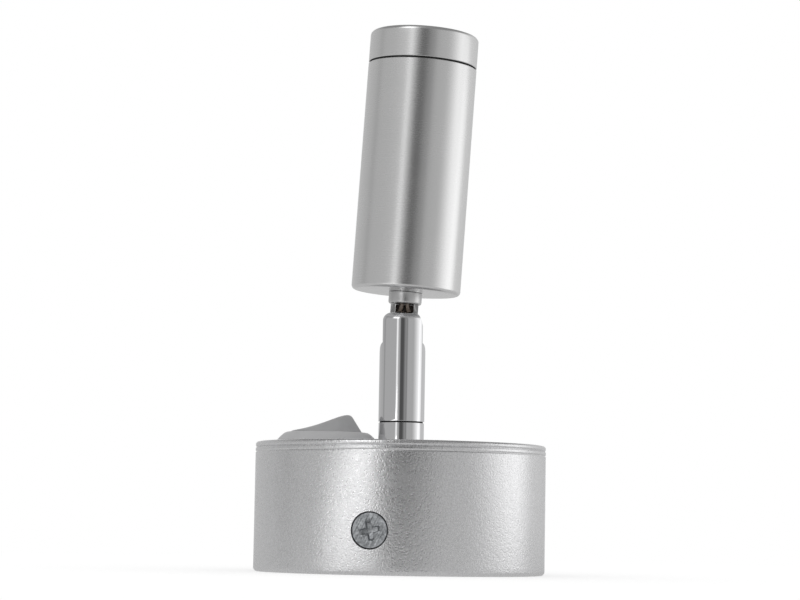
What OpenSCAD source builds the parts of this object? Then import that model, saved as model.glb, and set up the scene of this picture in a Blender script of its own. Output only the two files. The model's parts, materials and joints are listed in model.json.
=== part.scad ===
// Surface spotlight: round base with a rocker switch, swivelling stem, tilting cylinder head.
// Millimetres. The base stands on z = 0 (its wall side), the base axis is Z, the switch is at -X.

/* [Base] */
// Outer diameter of the base cover
base_d = 66; // [60:0.5:80]
// Height of the base cover
base_h = 29.2; // [29:0.1:40]
// Wall of the base cover
base_wall = 2.8; // [2.4:0.1:3.4]
// Thickness of the cover's top
cover_top_t = 2.5; // [2:0.1:3]
// Rounding of the cover's top edge
cover_edge_r = 1.1; // [0.6:0.1:1.5]
// Rounding of the cover's foot edge
cover_foot_r = 0.9; // [0.4:0.1:1.2]
// Distance of the turned groove below the cover's top
groove_drop = 2.55; // [2.2:0.05:4]
// Width of the turned groove
groove_w = 0.5; // [0.3:0.05:0.8]
// Depth of the turned groove
groove_depth = 0.22; // [0.1:0.02:0.4]

/* [Mounting plate] */
// Thickness of the mounting plate and its ears
plate_t = 2; // [1.5:0.1:2.4]
// Width of each ear
ear_w = 10; // [8:0.5:11]
// Height of the ears above the plate
ear_rise = 13; // [12:0.5:15]
// Distance between the two wall screw slots
slot_pitch = 44; // [42:0.5:45]
// Width of a wall screw slot
slot_w = 4.2; // [3.6:0.1:4.6]
// Length of a wall screw slot, end to end
slot_l = 7; // [6:0.5:8]
// Diameter of the cable hole
cable_hole_d = 12; // [10:0.5:12]

/* [Side screws] */
// Height of the side screws above the wall
side_screw_z = 9.6; // [9:0.1:11]
// Head diameter of a side screw
side_head_d = 7.7; // [7:0.1:8.2]
// Thread diameter of a side screw
side_thread_d = 4; // [3.5:0.1:4]
// Length of a side screw
side_screw_l = 8; // [7.5:0.5:10]

/* [Switch] */
// Distance of the switch axis from the base axis
switch_offset = 17.3; // [17.2:0.1:18]
// Diameter of the switch body below its flange
switch_body_d = 20; // [19:0.1:20.2]
// Diameter of the switch flange
switch_flange_d = 23.6; // [23:0.1:23.8]
// Height of the switch flange above the cover
switch_flange_h = 2.65; // [2.4:0.05:2.7]
// Depth of the switch body below the cover's outer face
switch_depth = 16; // [15.5:0.5:17]
// Depth of the rocker pivot below the cover's outer face
rocker_pivot_drop = 1; // [0.8:0.1:1.2]
// Swing radius of the rocker's ends
rocker_r = 8.7; // [8.4:0.05:8.7]
// Tilt of the rocker to each side of level
rocker_tilt = 16.5; // [12:0.5:16.5]
// Half the distance between the rocker's two crests
crest_x = 6.45; // [6.2:0.05:6.5]
// Height of the crests above the rocker pivot when level
crest_z = 5.95; // [5.6:0.05:6]
// Rounding of the rocker's crests
crest_r = 1; // [0.6:0.1:1.1]
// Hollow of the rocker's face between the crests
face_hollow = 0.36; // [0.1:0.02:0.5]
// Diameter of the rocker's pivot studs
rocker_pin_d = 2; // [1.6:0.1:2.2]
// Tilt of the contact lever to each side of level
lever_tilt = 6; // [4:0.5:6]

/* [Stem] */
// Diameter of the stem barrel
stem_d = 10.5; // [10:0.1:11]
// Height of the fixed collar above the base
collar_h = 4.8; // [3.5:0.05:6]
// Running gap between the fixed collar and the barrel
swivel_gap = 0.3; // [0.25:0.05:0.4]
// Length of the barrel
barrel_l = 24.9; // [24.4:0.05:30]
// Rounding of the barrel's top
barrel_top_r = 2; // [1.6:0.1:2]
// Distance from the barrel's top down to the tilt axis
pivot_drop = 3.65; // [3.5:0.05:3.8]
// Width of the fork slot
fork_w = 5.2; // [5:0.1:5.4]
// Height by which the slot's floor rolls off at the barrel's sides
fork_roll_h = 2.5; // [1.5:0.1:2.8]
// Diameter of the swivel spigot
spigot_d = 7; // [6.8:0.1:7.2]
// Diameter of the nipple's lower thread
nipple_thread_d = 8; // [7.6:0.1:8.4]
// Diameter of the lead bore through the nipple
nipple_bore_d = 4; // [3.6:0.1:4.2]
// Diameter of the tilt pin
tilt_pin_d = 2.6; // [2.2:0.1:2.8]
// Diameter of the tilt pin's slotted head, at the back of the barrel
tilt_head_d = 3.6; // [3.2:0.1:4]
// Turn of the barrel about the base axis in the stored position
swivel_rest = 11; // [0:1:30]

/* [Head] */
// Outer diameter of the head
head_d = 25; // [24.5:0.1:28]
// Length of the head tube up to the seam
head_tube_l = 52.4; // [50:0.1:60]
// Height of the black ring in the seam
seam_h = 0.4; // [0.3:0.05:0.6]
// Height of the front bezel above the seam
bezel_h = 7.15; // [6.6:0.05:8]
// Wall of the head tube
head_wall = 1.5; // [1.3:0.1:1.6]
// Thickness of the closed end of the head tube
head_floor_t = 3; // [2.5:0.1:3.5]
// Rounding of the closed end's outer edge
head_foot_r = 1.2; // [0.6:0.1:1.5]
// Rounding of the bezel's front edge
bezel_edge_r = 1; // [0.5:0.1:1.2]
// Distance from the tilt axis to the head's closed end
head_rise = 8.35; // [8.35:0.05:9]
// Lean of the head to its side in the stored position
head_lean = 3.3; // [0:0.1:5]
// Diameter of the neck collar under the head
neck_collar_d = 7.6; // [7:0.1:8]
// Length of the neck collar
neck_collar_l = 2.7; // [2.2:0.1:2.7]
// Width of the neck
neck_w = 6.3; // [6:0.1:6.4]
// Width of the lead window in the neck
neck_window_w = 4.3; // [4:0.1:4.4]
// Diameter of the lens flange
lens_d = 20.2; // [19.6:0.1:20.2]
// Diameter of the light-emitting cap
emitter_d = 4.4; // [3.6:0.1:5]

/* [Leads] */
// Diameter of the supply leads inside the base
supply_lead_d = 1.5; // [1.2:0.1:1.6]
// Diameter of the two lamp leads
lamp_lead_d = 1; // [0.8:0.1:1]

/* [Hidden] */
$fn = 96;

eps = 0.01;
over = 1;
fit = 0.05;
seat = 0.1;
loose = 0.3;

base_r = base_d / 2;
cavity_r = base_r - base_wall;
ceiling_z = base_h - cover_top_t;
plate_r = cavity_r - 0.2;
ear_face_y = sqrt(cavity_r * cavity_r - ear_w * ear_w / 4) - seat;
side_head_t = 0.4;
side_cone_t = (side_head_d - side_thread_d) / 2;
side_face_y = base_r - 0.35;
side_mouth_d = side_head_d + 0.5;

switch_x = -switch_offset;
pivot_z = base_h - rocker_pivot_drop;
housing_floor_z = base_h - switch_depth;
housing_floor_t = 1.5;
opening_r = rocker_r;
housing_bore_r = rocker_r + loose;
lever_z = housing_floor_z + 4.5;
lever_t = 0.6;
lever_l = 13;
lever_w = 3.6;
blade_t = 0.8;
blade_w = 4.8;
blade_l = 7;
blade_gap = 6;
rocker_floor = 3.4;
guide_r = 2.4;
guide_end = 6.5;
plunger_r = 1.3;
plunger_end = pivot_z - lever_z - lever_t / 2 - 0.25;
plunger_head = 4.2;
plunger_bore_top = -0.6;

stem_r = stem_d / 2;
collar_r = stem_r - 0.05;
barrel_z = base_h + collar_h + swivel_gap;
barrel_top = barrel_z + barrel_l;
tilt_z = barrel_top - pivot_drop;
tongue_r = 3.1;
fork_floor = tongue_r + 0.25;
shoulder_z = barrel_z + 4.5;
barrel_cavity_r = 4.1;
barrel_cavity_top = barrel_top - pivot_drop - fork_floor - 2.2;
stop_h = 1.05;
stop_r = 4.3;
stop_w = 0.9;
step_z = shoulder_z + loose;
upper_thread_r = 2.9;
swivel_washer_t = 0.4;
swivel_nut_t = 2.4;
nipple_top = step_z + swivel_washer_t + swivel_nut_t + 1.2;
nipple_bottom = ceiling_z - 8;
nipple_washer_t = 1;
nipple_nut_t = 4.2;
nipple_nut_af = 11;

fork_floor_z = tilt_z - fork_floor;
tilt_head_t = 0.9;
tilt_head_y = 3.9;
tilt_pin_front = fork_w / 2 + 1.6;
tilt_slot_w = 0.6;
tilt_slot_depth = 0.5;
friction_t = 0.2;
friction_r = 2.8;
lead_swing_x = 2.3;
lead_swing_y = 1.2;
tongue_t = fork_w - 0.6;
eye_t = 2.4;
eye_y = -tongue_t / 2;
neck_window_z = tongue_r + 0.3;
stud_r = 3;
stud_bore_r = 1.7;
stud_l = 7;
washer_t = 0.5;
tongue_nut_t = 2.6;
tongue_nut_af = 8;

head_r = head_d / 2;
head_bore_r = head_r - head_wall;
seam_z = head_rise + head_tube_l;
bezel_z = seam_z + seam_h;
head_top = bezel_z + bezel_h;
sleeve_l = 5.6;
sleeve_r = head_bore_r - fit;
bezel_bore_r = lens_d / 2 + 0.3;
lip_t = 1.2;
lip_r = lens_d / 2 - 0.6;
glass_t = 1.6;
lens_flange_t = 1.2;
glass_z = head_top - lip_t - glass_t;
lens_z = glass_z - lens_flange_t;
holder_t = 0.7;
board_t = 1.6;
holder_h = 10;
board_z = lens_z - holder_h - board_t;
sink_l = 24;
sink_z = board_z - sink_l;
ledge_r = head_bore_r - 0.8;
board_r = 9.8;
board_screw_x = 7;
lead_hole_y = 6;
lead_hole_r = 1.6;
emitter_t = 1.6;

block_x = 12;
block_l = 10;
block_w = 17;
block_h = 10.5;
pole_pitch = 8;
pole_z = plate_t + 4.2;
pole_bore_r = 1.3;
pole_tube_r = 2;
pole_screw_r = 1.1;
pole_screw_dx = 2.5;

case_x = 9.5;
case_l = 16;
case_w = 22;
case_h = 10.3;
case_wall = 1;
pad_t = 0.8;
case_top = ceiling_z - pad_t;
case_z = case_top - case_h;
driver_board_t = 1.2;
driver_board_z = case_z + 3;
coil_w = 7;
coil_h = 4.6;
capacitor_d = 5;
chip_w = 3;
chip_h = 1.4;
lead_slot_w = 6;
lead_slot_h = 1.8;

function arc_points(cx, cy, r, a0, a1, n) =
    [for (i = [0:n]) let (a = a0 + (a1 - a0) * i / n) [cx + r * cos(a), cy + r * sin(a)]];

// A smooth path: each stretch is a quadratic curve between the middles of the given legs.
function middle(a, b) = (a + b) / 2;
function bend(a, b, c, n) =
    [for (i = [0:n - 1]) let (t = i / n)
        middle(a, b) * (1 - t) * (1 - t) + b * 2 * t * (1 - t) + middle(b, c) * t * t];
function smooth_path(p, n) = concat(
    [p[0]],
    [for (i = [1:len(p) - 2]) each bend(p[i - 1], p[i], p[i + 1], n)],
    [middle(p[len(p) - 2], p[len(p) - 1]), p[len(p) - 1]]);

function unit(v) = v / norm(v);
function heading(p, i) = i == 0 ? unit(p[1] - p[0])
    : i == len(p) - 1 ? unit(p[i] - p[i - 1])
    : unit(unit(p[i + 1] - p[i]) + unit(p[i] - p[i - 1]));
function carried(side, dir) = unit(side - dir * (side * dir));
function first_side(dir) = carried(abs(dir[1]) < 0.9 ? [0, 1, 0] : [1, 0, 0], dir);
function sides_along(p, i, side, out) =
    i == len(p) ? out
    : let (s = carried(side, heading(p, i))) sides_along(p, i + 1, s, concat(out, [s]));

// A round tube along a path of points, closed at both ends.
module lead(p, d, n = 8) {
    sides = sides_along(p, 0, first_side(heading(p, 0)), []);
    m = len(p);
    points = [for (i = [0:m - 1]) let (s = sides[i], u = cross(heading(p, i), s))
        for (k = [0:n - 1]) p[i] + (s * cos(360 * k / n) + u * sin(360 * k / n)) * d / 2];
    ends = [[for (k = [n - 1:-1:0]) k], [for (k = [0:n - 1]) (m - 1) * n + k]];
    walls = [for (i = [0:m - 2]) for (k = [0:n - 1]) let (j = (k + 1) % n)
        each [[i * n + k, i * n + j, (i + 1) * n + j], [i * n + k, (i + 1) * n + j, (i + 1) * n + k]]];
    polyhedron(points = points, faces = [for (f = concat(ends, walls)) [for (k = [len(f) - 1:-1:0]) f[k]]]);
}

module ring(r_out, r_in, h) {
    difference() {
        cylinder(r = r_out, h = h);
        translate([0, 0, -over]) cylinder(r = r_in, h = h + 2 * over);
    }
}

module hex_nut(across, h, bore_r) {
    difference() {
        cylinder(d = across / cos(30), h = h, $fn = 6);
        translate([0, 0, -over]) cylinder(r = bore_r, h = h + 2 * over);
    }
}

module at_switch() translate([switch_x, 0, 0]) children();
module in_barrel() rotate([0, 0, swivel_rest]) children();
module in_head() in_barrel() translate([0, 0, tilt_z]) rotate([0, head_lean, 0]) children();
module at_rocker() translate([switch_x, 0, pivot_z]) rotate([0, -rocker_tilt, 0]) children();
module on_both_sides() for (turn = [0, 180]) rotate([0, 0, turn]) children();

module cover_outline() {
    groove_z = base_h - groove_drop;
    polygon(concat(
        [[0, 0], [base_r - cover_foot_r, 0]],
        arc_points(base_r - cover_foot_r, cover_foot_r, cover_foot_r, -75, 0, 5),
        [[base_r, groove_z - groove_w / 2 - 0.1],
            [base_r - groove_depth, groove_z - groove_w / 2],
            [base_r - groove_depth, groove_z + groove_w / 4],
            [base_r, groove_z + groove_w / 2]],
        arc_points(base_r - cover_edge_r, base_h - cover_edge_r, cover_edge_r, 0, 90, 6),
        [[0, base_h]]));
}

module base_cover() color([0.74, 0.74, 0.75]) difference() {
    rotate_extrude() cover_outline();
    translate([0, 0, -over]) cylinder(r = cavity_r, h = ceiling_z + over);
    translate([0, 0, ceiling_z - over]) cylinder(d = nipple_thread_d + 0.2, h = cover_top_t + 2 * over);
    at_switch() translate([0, 0, ceiling_z - over])
        cylinder(d = switch_body_d + 0.2, h = cover_top_t + 2 * over);
    on_both_sides() translate([0, -side_face_y, side_screw_z]) rotate([-90, 0, 0]) {
        translate([0, 0, -over]) cylinder(d = side_mouth_d, h = side_head_t + over + eps);
        translate([0, 0, side_head_t])
            cylinder(d1 = side_mouth_d, d2 = side_thread_d + 0.5, h = side_cone_t);
        cylinder(d = side_thread_d + 0.5, h = base_wall + over);
    }
}

module mounting_plate() color([0.6, 0.6, 0.62]) difference() {
    union() {
        cylinder(r = plate_r, h = plate_t);
        on_both_sides() translate([-ear_w / 2, -ear_face_y, 0])
            cube([ear_w, plate_t, plate_t + ear_rise]);
    }
    translate([0, 0, -over]) cylinder(d = cable_hole_d, h = plate_t + 2 * over);
    on_both_sides() translate([slot_pitch / 2, 0, -over]) {
        for (side = [-1, 1]) translate([side * (slot_l - slot_w) / 2, 0, 0])
            cylinder(d = slot_w, h = plate_t + 2 * over);
        translate([-(slot_l - slot_w) / 2, -slot_w / 2, 0])
            cube([slot_l - slot_w, slot_w, plate_t + 2 * over]);
    }
    on_both_sides() translate([0, -ear_face_y - over, side_screw_z]) rotate([-90, 0, 0])
        cylinder(d = side_thread_d + 2 * fit, h = plate_t + 2 * over);
}

module cross_recess(size, depth) {
    for (turn = [0, 90]) rotate([0, 0, turn]) translate([-size / 2, -size / 9, -eps])
        cube([size, size / 4.5, depth]);
    translate([0, 0, -eps]) cylinder(d1 = size * 0.5, d2 = size * 0.2, h = depth * 1.4);
}

module side_screws() color([0.62, 0.63, 0.65]) on_both_sides()
    translate([0, -side_face_y, side_screw_z]) rotate([-90, 0, 0]) difference() {
        union() {
            cylinder(d = side_head_d, h = side_head_t);
            translate([0, 0, side_head_t])
                cylinder(d1 = side_head_d, d2 = side_thread_d, h = side_cone_t);
            cylinder(d = side_thread_d, h = side_screw_l);
        }
        cross_recess(4.4, 1.3);
    }

module at_poles() for (side = [-1, 1]) translate([block_x, side * pole_pitch / 2, pole_z]) children();

module terminal_block() color([0.9, 0.89, 0.85]) difference() {
    union() {
        translate([block_x - block_l / 2, -block_w / 2, plate_t]) cube([block_l, block_w, pole_z - plate_t]);
        at_poles() translate([-block_l / 2, 0, 0]) rotate([0, 90, 0])
            cylinder(r = pole_tube_r + 1.2, h = block_l);
        at_poles() for (dx = [-1, 1]) translate([dx * pole_screw_dx, 0, 0])
            cylinder(r = pole_screw_r + 0.9, h = block_h - pole_z + plate_t);
    }
    at_poles() translate([-block_l / 2 - over, 0, 0]) rotate([0, 90, 0])
        cylinder(r = pole_tube_r, h = block_l + 2 * over);
    at_poles() for (dx = [-1, 1]) translate([dx * pole_screw_dx, 0, 0])
        cylinder(r = pole_screw_r + 0.15, h = block_h);
}

module terminal_inserts() color([0.8, 0.65, 0.3]) difference() {
    at_poles() translate([-block_l / 2 + 0.6, 0, 0]) rotate([0, 90, 0])
        cylinder(r = pole_tube_r - 0.02, h = block_l - 1.2);
    at_poles() translate([-block_l / 2, 0, 0]) rotate([0, 90, 0]) cylinder(r = pole_bore_r, h = block_l);
    at_poles() for (dx = [-1, 1]) translate([dx * pole_screw_dx, 0, 0])
        cylinder(r = pole_screw_r + 0.02, h = block_h);
}

module terminal_screws() color([0.65, 0.65, 0.66]) at_poles() for (dx = [-1, 1])
    translate([dx * pole_screw_dx, 0, supply_lead_d / 2 + seat]) difference() {
        cylinder(r = pole_screw_r, h = 3.6);
        translate([-pole_screw_r - over, -0.25, 2.9]) cube([2 * pole_screw_r + 2 * over, 0.5, over]);
    }

module stem_nipple() color([0.8, 0.8, 0.81]) difference() {
    union() {
        translate([0, 0, nipple_bottom]) cylinder(d = nipple_thread_d, h = base_h - nipple_bottom + eps);
        translate([0, 0, base_h]) cylinder(r = collar_r, h = collar_h);
        translate([0, 0, base_h]) cylinder(d = spigot_d, h = step_z - base_h);
        translate([0, 0, base_h]) cylinder(r = upper_thread_r, h = nipple_top - base_h);
        rotate([0, 0, swivel_rest]) translate([-stop_r, -stop_w / 2, base_h + collar_h - eps])
            cube([stop_r, stop_w, swivel_gap + stop_h - loose + eps]);
    }
    translate([0, 0, nipple_bottom - over])
        cylinder(d = nipple_bore_d, h = nipple_top - nipple_bottom + 2 * over);
}

module nipple_washer() color([0.7, 0.7, 0.7]) translate([0, 0, ceiling_z - nipple_washer_t])
    ring(nipple_nut_af / 2 + 1, nipple_thread_d / 2 + 0.1, nipple_washer_t);

module nipple_nut() color([0.72, 0.66, 0.45])
    translate([0, 0, ceiling_z - nipple_washer_t - nipple_nut_t])
        hex_nut(nipple_nut_af, nipple_nut_t, nipple_thread_d / 2 + 0.02);

module swivel_washer() color([0.6, 0.6, 0.6]) translate([0, 0, step_z])
    ring(barrel_cavity_r - 0.15, upper_thread_r + fit, swivel_washer_t);

module swivel_nut() color([0.72, 0.66, 0.45]) translate([0, 0, step_z + swivel_washer_t]) difference() {
    ring(barrel_cavity_r - 0.3, upper_thread_r + 0.02, swivel_nut_t);
    translate([-barrel_cavity_r, -0.4, swivel_nut_t - 0.8]) cube([2 * barrel_cavity_r, 0.8, over]);
}

module driver_case() color([0.2, 0.2, 0.21]) translate([case_x, -case_w / 2, case_z]) difference() {
    cube([case_l, case_w, case_h]);
    translate([case_wall, case_wall, driver_board_z - case_z])
        cube([case_l - 2 * case_wall, case_w - 2 * case_wall, case_h]);
    translate([case_wall + 1, case_wall + 1, case_wall])
        cube([case_l - 2 * case_wall - 2, case_w - 2 * case_wall - 2, case_h]);
    translate([-over, (case_w - lead_slot_w) / 2, driver_board_z - case_z + driver_board_t])
        cube([case_wall + 2 * over, lead_slot_w, lead_slot_h]);
    translate([-over, case_w / 2 + 5, case_wall + 0.3]) cube([case_wall + 2 * over, 4, 1.7]);
}

module driver_board() color([0.15, 0.4, 0.22])
    translate([case_x + case_wall + seat, -case_w / 2 + case_wall + seat, driver_board_z])
        cube([case_l - 2 * case_wall - 2 * seat, case_w - 2 * case_wall - 2 * seat, driver_board_t]);

module driver_components() color([0.85, 0.75, 0.35])
    translate([case_x + case_l / 2, 0, driver_board_z + driver_board_t]) {
        translate([-case_l * 0.16, -case_w * 0.36, 0]) cube([coil_w, coil_w - 1, coil_h]);
        translate([case_l * 0.16, case_w * 0.25, 0]) cylinder(d = capacitor_d, h = coil_h + 0.2);
        translate([-case_l * 0.22, case_w * 0.25, 0]) cube([chip_w, chip_w + 0.6, chip_h]);
        translate([case_l * 0.2, -case_w * 0.02, 0]) cube([chip_w - 1, chip_w - 0.4, chip_h + 0.2]);
    }

module driver_pad() color([0.95, 0.95, 0.93]) translate([case_x + 1, -case_w / 2 + 1, case_top])
    cube([case_l - 2, case_w - 2, pad_t]);

module bezel_outline() {
    flank = switch_flange_d / 2;
    rim_r = opening_r + 0.35;
    polygon([[0, base_h], [0, base_h + switch_flange_h], [rim_r, base_h + switch_flange_h],
        [rim_r + 0.4, base_h + switch_flange_h - 0.1], [rim_r + 1.1, base_h + switch_flange_h * 0.78],
        [flank - 0.75, base_h + switch_flange_h * 0.42], [flank - 0.15, base_h + 0.3], [flank, base_h]]);
}

module switch_housing() color([0.62, 0.62, 0.63]) at_switch() difference() {
    union() {
        rotate_extrude() bezel_outline();
        translate([0, 0, housing_floor_z]) cylinder(d = switch_body_d, h = base_h - housing_floor_z + eps);
        for (turn = [90, 270]) rotate([0, 0, turn]) translate([switch_body_d / 2 - 0.6, -2, ceiling_z - 3])
            cube([1, 4, 2.9]);
    }
    translate([0, 0, housing_floor_z + housing_floor_t]) cylinder(r = housing_bore_r,
        h = pivot_z - housing_floor_z - housing_floor_t);
    translate([0, 0, pivot_z - eps]) cylinder(r1 = housing_bore_r, r2 = opening_r,
        h = rocker_pivot_drop + switch_flange_h + 2 * eps);
    translate([0, switch_body_d / 2 + over, pivot_z]) rotate([90, 0, 0])
        cylinder(d = rocker_pin_d + 2 * fit, h = switch_body_d + 2 * over);
    for (x = [0, blade_gap]) translate([x - blade_t / 2 - 0.02, -blade_w / 2 - 0.02, housing_floor_z - over])
        cube([blade_t + 0.04, blade_w + 0.04, housing_floor_t + 2 * over]);
}

module switch_terminals() color([0.82, 0.66, 0.32]) at_switch() {
    translate([-blade_t / 2, -blade_w / 2, housing_floor_z - blade_l])
        cube([blade_t, blade_w, lever_z - lever_t / 2 - loose - housing_floor_z + blade_l]);
    translate([blade_gap - blade_t / 2, -blade_w / 2, housing_floor_z - blade_l]) {
        cube([blade_t, blade_w, blade_l + housing_floor_t + 0.9]);
        translate([-1.4, blade_w / 2 - 1, blade_l + housing_floor_t + 0.4]) cube([2, 2, 0.5]);
    }
}

module rocker_side() {
    tip_x = crest_x;
    tip_z = crest_z;
    n = 10;
    end_lean = 17;
    function face(x) = tip_z - 0.12 - face_hollow * (1 - pow(x / tip_x, 2));
    polygon(concat(
        [[-rocker_r, -rocker_floor], [rocker_r, -rocker_floor], [rocker_r, 1.1]],
        arc_points(tip_x + 0.05, tip_z - crest_r, crest_r, end_lean, 90, 5),
        [for (i = [1:n - 1]) let (x = tip_x * (1 - 2 * i / n)) [x, face(x)]],
        arc_points(-tip_x - 0.05, tip_z - crest_r, crest_r, 90, 180 - end_lean, 5),
        [[-rocker_r, 1.1]]));
}

module rocker_plan() polygon(concat(
    [[0, -rocker_floor - over]],
    arc_points(0, 0, rocker_r, -asin(rocker_floor / rocker_r) - 3, asin(1.1 / rocker_r), 10),
    [[rocker_r - 1.45, 6], [rocker_r - 2.2, 6.4], [0, 6.4]]));

module switch_rocker() color([0.57, 0.57, 0.58]) at_rocker() difference() {
    union() {
        intersection() {
            rotate([90, 0, 0]) linear_extrude(2 * rocker_r + 2, center = true) rocker_side();
            rotate_extrude() rocker_plan();
        }
        rotate([90, 0, 0]) cylinder(d = rocker_pin_d, h = switch_body_d - 0.6, center = true);
        translate([0, 0, -guide_end]) cylinder(r = guide_r, h = guide_end);
    }
    translate([0, 0, -guide_end - over])
        cylinder(r = plunger_r + fit, h = guide_end + plunger_bore_top + over);
    for (side = [-1, 1]) translate([side * 4.9 - 1.6, -3.5, -rocker_floor - over])
        cube([3.2, 7, 3 + over]);
}

module rocker_plunger() color([0.95, 0.95, 0.95]) at_rocker() translate([0, 0, -plunger_end]) {
    translate([0, 0, plunger_r]) cylinder(r = plunger_r, h = plunger_head - plunger_r);
    translate([0, 0, plunger_r]) sphere(r = plunger_r);
}

module plunger_spring() color([0.7, 0.7, 0.72]) at_rocker() {
    wire_d = 0.3;
    coil_r = plunger_r - wire_d / 2 - 0.1;
    low = -plunger_end + plunger_head + wire_d / 2;
    high = plunger_bore_top - wire_d / 2;
    turns = 5;
    lead([for (i = [0:turns * 8]) let (a = i * 45) [coil_r * cos(a), coil_r * sin(a),
        low + (high - low) * i / (turns * 8)]], wire_d, 6);
}

module contact_lever() color([0.82, 0.5, 0.3]) translate([switch_x, 0, lever_z])
    rotate([0, lever_tilt, 0]) {
        translate([-lever_l / 2, -lever_w / 2, -lever_t / 2]) cube([lever_l, lever_w, lever_t]);
        translate([blade_gap - 1, 0, -lever_t / 2 - 0.4]) cylinder(d = 1.6, h = 0.4 + eps);
    }

module barrel_shape() {
    rotate_extrude() polygon(concat(
        [[0, 0], [stem_r - 0.2, 0], [stem_r, 0.2]],
        arc_points(stem_r - barrel_top_r, barrel_l - barrel_top_r, barrel_top_r, 0, 90, 8),
        [[0, barrel_l]]));
}

module slot_side() {
    reach = sqrt(pow(stem_r, 2) - pow(fork_w / 2, 2)) - 0.1;
    roll_w = stem_r - reach;
    floor_h = fork_floor_z - barrel_z;
    end_a = 72;
    n = 6;
    function roll(a) = [reach + roll_w * sin(a), floor_h - fork_roll_h * (1 - cos(a))];
    rolls = [for (i = [0:n]) roll(end_a * i / n)];
    past = stem_r + 0.2;
    low_h = rolls[n][1] - (past - rolls[n][0]) * tan(end_a) * fork_roll_h / roll_w;
    polygon(concat(
        [[-past, low_h]], [for (i = [n:-1:0]) [-rolls[i][0], rolls[i][1]]],
        rolls, [[past, low_h], [past, barrel_l + over], [-past, barrel_l + over]]));
}

module stem_barrel() color([0.8, 0.8, 0.81]) in_barrel() translate([0, 0, barrel_z]) difference() {
    barrel_shape();
    translate([0, 0, -over]) cylinder(d = spigot_d + 2 * fit, h = barrel_l / 2);
    translate([0, 0, shoulder_z - barrel_z])
        cylinder(r = barrel_cavity_r, h = barrel_cavity_top - shoulder_z);
    difference() {
        translate([0, 0, -over]) cylinder(r = stop_r + 0.15, h = stop_h + over);
        translate([0, -stop_w / 2, -over]) cube([stop_r + over, stop_w, stop_h + 2 * over]);
    }
    translate([0, 0, barrel_cavity_top - barrel_z - over])
        cylinder(d = nipple_bore_d, h = fork_floor_z - barrel_cavity_top + 2 * over);
    rotate([90, 0, 0]) linear_extrude(fork_w, center = true) slot_side();
    translate([0, stem_r + over, tilt_z - barrel_z]) rotate([90, 0, 0]) {
        cylinder(d = tilt_pin_d + 0.04, h = stem_r + over + tilt_pin_front + seat);
        cylinder(d = tilt_head_d + 2 * fit, h = stem_r + over - tilt_head_y);
    }
}

module tilt_pin() color([0.75, 0.75, 0.76]) in_barrel()
    translate([0, tilt_head_y + tilt_head_t, tilt_z]) rotate([90, 0, 0]) difference() {
        union() {
            cylinder(d = tilt_head_d, h = tilt_head_t);
            cylinder(d = tilt_pin_d, h = tilt_head_y + tilt_head_t + tilt_pin_front);
        }
        translate([-tilt_head_d, -tilt_slot_w / 2, -over])
            cube([2 * tilt_head_d, tilt_slot_w, over + tilt_slot_depth]);
    }

module friction_washers() color([0.85, 0.85, 0.8]) in_barrel() translate([0, 0, tilt_z]) {
    translate([0, -fork_w / 2 + friction_t, 0]) rotate([90, 0, 0])
        ring(friction_r, tilt_pin_d / 2 + fit, friction_t);
    translate([0, fork_w / 2, 0]) rotate([90, 0, 0])
        ring(tilt_pin_d / 2 + 0.4, tilt_pin_d / 2 + fit, fork_w / 2 - eye_y - eye_t - seat);
}

module knuckle_tongue() color([0.8, 0.8, 0.81]) in_head() difference() {
    union() {
        translate([0, eye_y + eye_t, 0]) rotate([90, 0, 0]) cylinder(r = tongue_r, h = eye_t);
        translate([-neck_w / 2, eye_y, 0]) cube([neck_w, eye_t, 3]);
        translate([-neck_w / 2, -tongue_t / 2, 2.9])
            cube([neck_w, tongue_t, head_rise - neck_collar_l - 2.9 + eps]);
        translate([0, 0, head_rise - neck_collar_l]) cylinder(d = neck_collar_d, h = neck_collar_l);
        translate([0, 0, head_rise - eps]) cylinder(r = stud_r, h = stud_l);
    }
    translate([0, tongue_t, 0]) rotate([90, 0, 0]) cylinder(d = tilt_pin_d + 2 * fit, h = 2 * tongue_t);
    translate([-neck_window_w / 2, -tongue_t, neck_window_z])
        cube([neck_window_w, 2 * tongue_t, head_rise - neck_collar_l - neck_window_z]);
    translate([0, 0, head_rise - neck_collar_l - over])
        cylinder(r = stud_bore_r, h = stud_l + neck_collar_l + 2 * over);
    translate([-neck_w / 2 - over, eye_y + eye_t + eps, -over])
        cube([neck_w + 2 * over, tongue_t, neck_window_z + over]);
}

module tongue_washer() color([0.7, 0.7, 0.7]) in_head() translate([0, 0, head_rise + head_floor_t])
    ring(5.4, stud_r + 0.1, washer_t);

module tongue_nut() color([0.72, 0.66, 0.45]) in_head()
    translate([0, 0, head_rise + head_floor_t + washer_t])
        hex_nut(tongue_nut_af, tongue_nut_t, stud_r + 0.02);

module head_tube() color([0.78, 0.78, 0.79]) in_head() difference() {
    rotate_extrude() polygon(concat(
        [[0, head_rise]],
        arc_points(head_r - head_foot_r, head_rise + head_foot_r, head_foot_r, -90, 0, 6),
        [[head_r, seam_z - 0.1], [head_r - 0.1, seam_z], [0, seam_z]]));
    translate([0, 0, head_rise - over]) cylinder(r = stud_r + 0.1, h = head_floor_t + 2 * over);
    translate([0, 0, head_rise + head_floor_t]) cylinder(r = ledge_r, h = head_tube_l);
    translate([0, 0, sink_z]) cylinder(r = head_bore_r, h = head_tube_l);
}

module seam_ring() color([0.05, 0.05, 0.05]) in_head() translate([0, 0, seam_z])
    ring(head_r - 0.2, sleeve_r + 0.02, seam_h);

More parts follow.
